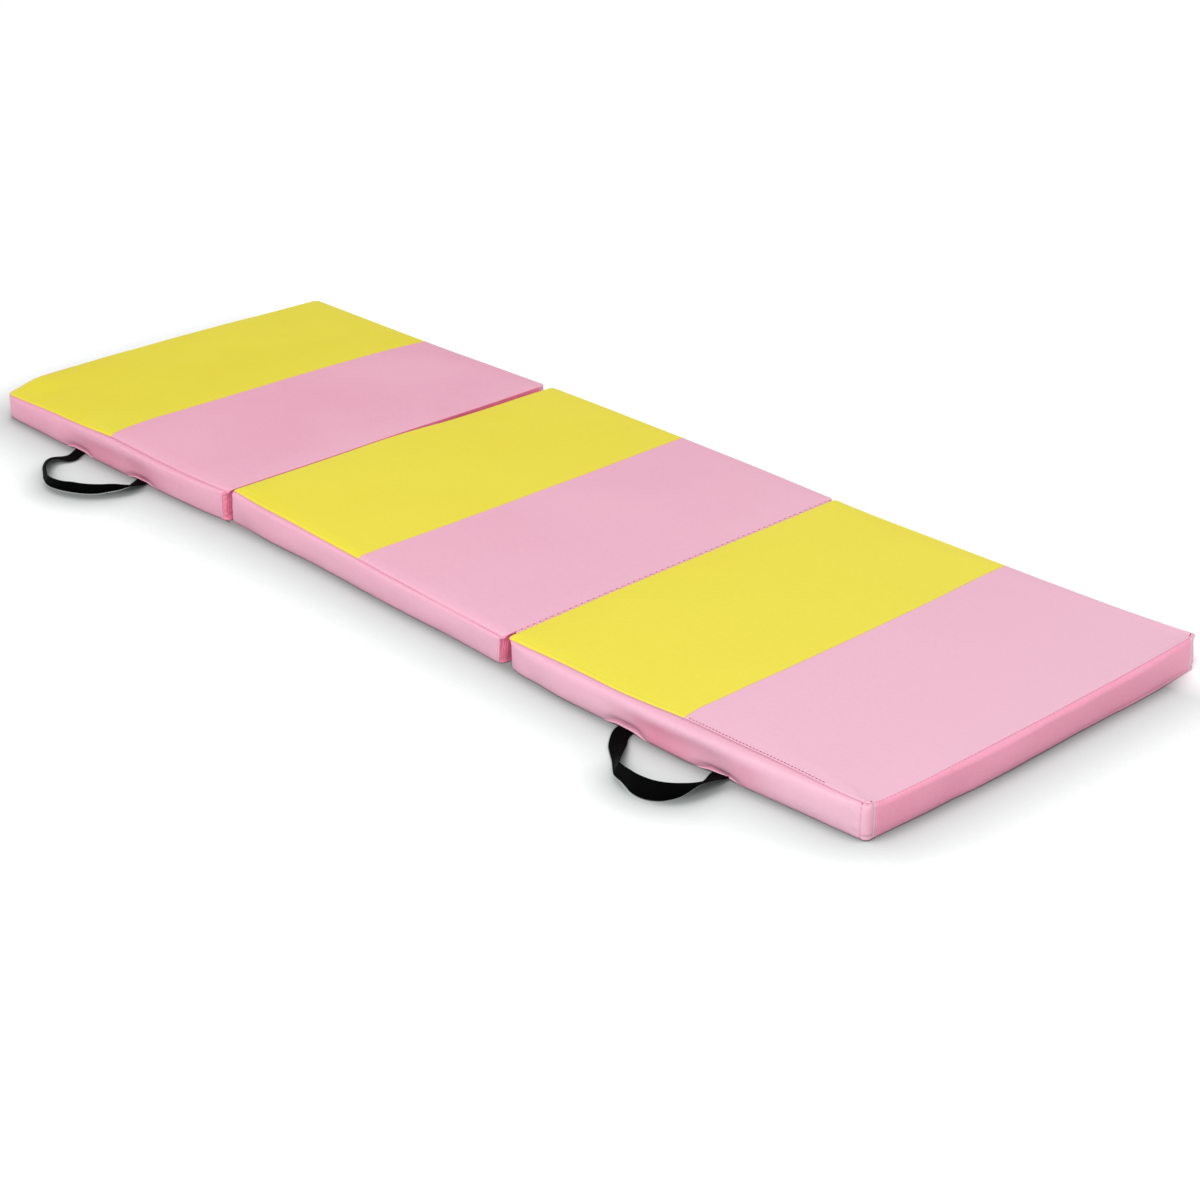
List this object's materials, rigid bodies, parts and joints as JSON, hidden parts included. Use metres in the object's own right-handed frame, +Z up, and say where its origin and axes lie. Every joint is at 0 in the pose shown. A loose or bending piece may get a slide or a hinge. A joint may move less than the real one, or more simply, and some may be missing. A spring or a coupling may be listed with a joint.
{
  "type": "folding gym mat",
  "caption": "Tri-fold padded exercise mat that folds in a Z, with two-colour panel tops, webbing carry handles on the front edge and zipped covers.",
  "frame": {"origin": "plan centre of the open mat, on the floor, in the underside of the middle panel", "axes": "+X along the open length from the left panel to the right panel, -Y towards the carry handles, +Y towards the zips, +Z up"},
  "size_m": [1.829, 0.7439, 0.043],
  "materials": {
    "yellow_cover": "satin",
    "pink_cover": "satin",
    "foam": "matte",
    "webbing": "matte",
    "thread": "matte",
    "zip_tape": "matte",
    "zip_coil": "satin",
    "zip_metal": "satin"
  },
  "bodies": {
    "right_panel": {"right_foam_core": "foam", "right_bottom_sheet": "pink_cover", "right_top_yellow": "yellow_cover", "right_top_pink": "pink_cover", "right_front_gusset": "pink_cover", "right_left_wall": "pink_cover", "right_right_wall": "pink_cover", "right_back_gusset_lower": "pink_cover", "right_back_gusset_upper": "pink_cover", "right_zip_tapes": "zip_tape", "right_zip_coils": "zip_coil", "right_zip_end_stops": "zip_metal", "right_handle_sewn_tails": "webbing", "right_handle_bar_tacks": "thread", "right_hinge_leaf_on_right_panel": "pink_cover"},
    "right_zip_slider": {"right_zip_slider": "zip_metal"},
    "right_zip_pull": {"right_zip_pull": "zip_metal"},
    "middle_panel": {"middle_foam_core": "foam", "middle_bottom_sheet": "pink_cover", "middle_top_yellow": "yellow_cover", "middle_top_pink": "pink_cover", "middle_front_gusset": "pink_cover", "middle_left_wall": "pink_cover", "middle_right_wall": "pink_cover", "middle_back_gusset_lower": "pink_cover", "middle_back_gusset_upper": "pink_cover", "middle_zip_tapes": "zip_tape", "middle_zip_coils": "zip_coil", "middle_zip_end_stops": "zip_metal", "left_hinge_leaf_on_middle_panel": "pink_cover", "right_hinge_leaf_on_middle_panel": "pink_cover"},
    "middle_zip_slider": {"middle_zip_slider": "zip_metal"},
    "middle_zip_pull": {"middle_zip_pull": "zip_metal"},
    "left_panel": {"left_foam_core": "foam", "left_bottom_sheet": "pink_cover", "left_top_yellow": "yellow_cover", "left_top_pink": "pink_cover", "left_front_gusset": "pink_cover", "left_left_wall": "pink_cover", "left_right_wall": "pink_cover", "left_back_gusset_lower": "pink_cover", "left_back_gusset_upper": "pink_cover", "left_zip_tapes": "zip_tape", "left_zip_coils": "zip_coil", "left_zip_end_stops": "zip_metal", "left_handle_sewn_tails": "webbing", "left_handle_bar_tacks": "thread", "left_hinge_leaf_on_left_panel": "pink_cover"},
    "left_zip_slider": {"left_zip_slider": "zip_metal"},
    "left_zip_pull": {"left_zip_pull": "zip_metal"},
    "left_handle": {"left_handle_strap": "webbing"},
    "right_handle": {"right_handle_strap": "webbing"}
  },
  "joints": [
    {"name": "middle_fold", "type": "hinge", "parent": "right_panel", "child": "middle_panel", "pos_m": [0.3065, 0, 0.0455], "axis": [0, 1, 0], "range_deg": [0, 180]},
    {"name": "left_fold", "type": "hinge", "parent": "middle_panel", "child": "left_panel", "pos_m": [-0.3055, 0, -0.0015], "axis": [0, -1, 0], "range_deg": [0, 180]},
    {"name": "left_handle_swing", "type": "hinge", "parent": "left_panel", "child": "left_handle", "pos_m": [-0.611, -0.3106, 0.002], "axis": [-1, 0, 0], "range_deg": [-60, 60]},
    {"name": "right_handle_swing", "type": "hinge", "parent": "right_panel", "child": "right_handle", "pos_m": [0.6145, -0.3106, 0.002], "axis": [-1, 0, 0], "range_deg": [-60, 60]},
    {"name": "left_zip_slide", "type": "slide", "parent": "left_panel", "child": "left_zip_slider", "axis": [-1, 0, 0], "range_m": [0, 0.53]},
    {"name": "left_zip_pull_flip", "type": "hinge", "parent": "left_zip_slider", "child": "left_zip_pull", "pos_m": [-0.3465, 0.3114, 0.0215], "axis": [0, 0, 1], "range_deg": [0, 180]},
    {"name": "middle_zip_slide", "type": "slide", "parent": "middle_panel", "child": "middle_zip_slider", "axis": [-1, 0, 0], "range_m": [0, 0.53]},
    {"name": "middle_zip_pull_flip", "type": "hinge", "parent": "middle_zip_slider", "child": "middle_zip_pull", "pos_m": [0.2665, 0.3114, 0.0215], "axis": [0, 0, 1], "range_deg": [0, 180]},
    {"name": "right_zip_slide", "type": "slide", "parent": "right_panel", "child": "right_zip_slider", "axis": [-1, 0, 0], "range_m": [0, 0.53]},
    {"name": "right_zip_pull_flip", "type": "hinge", "parent": "right_zip_slider", "child": "right_zip_pull", "pos_m": [0.8775, 0.3114, 0.0215], "axis": [0, 0, 1], "range_deg": [0, 180]}
  ]
}
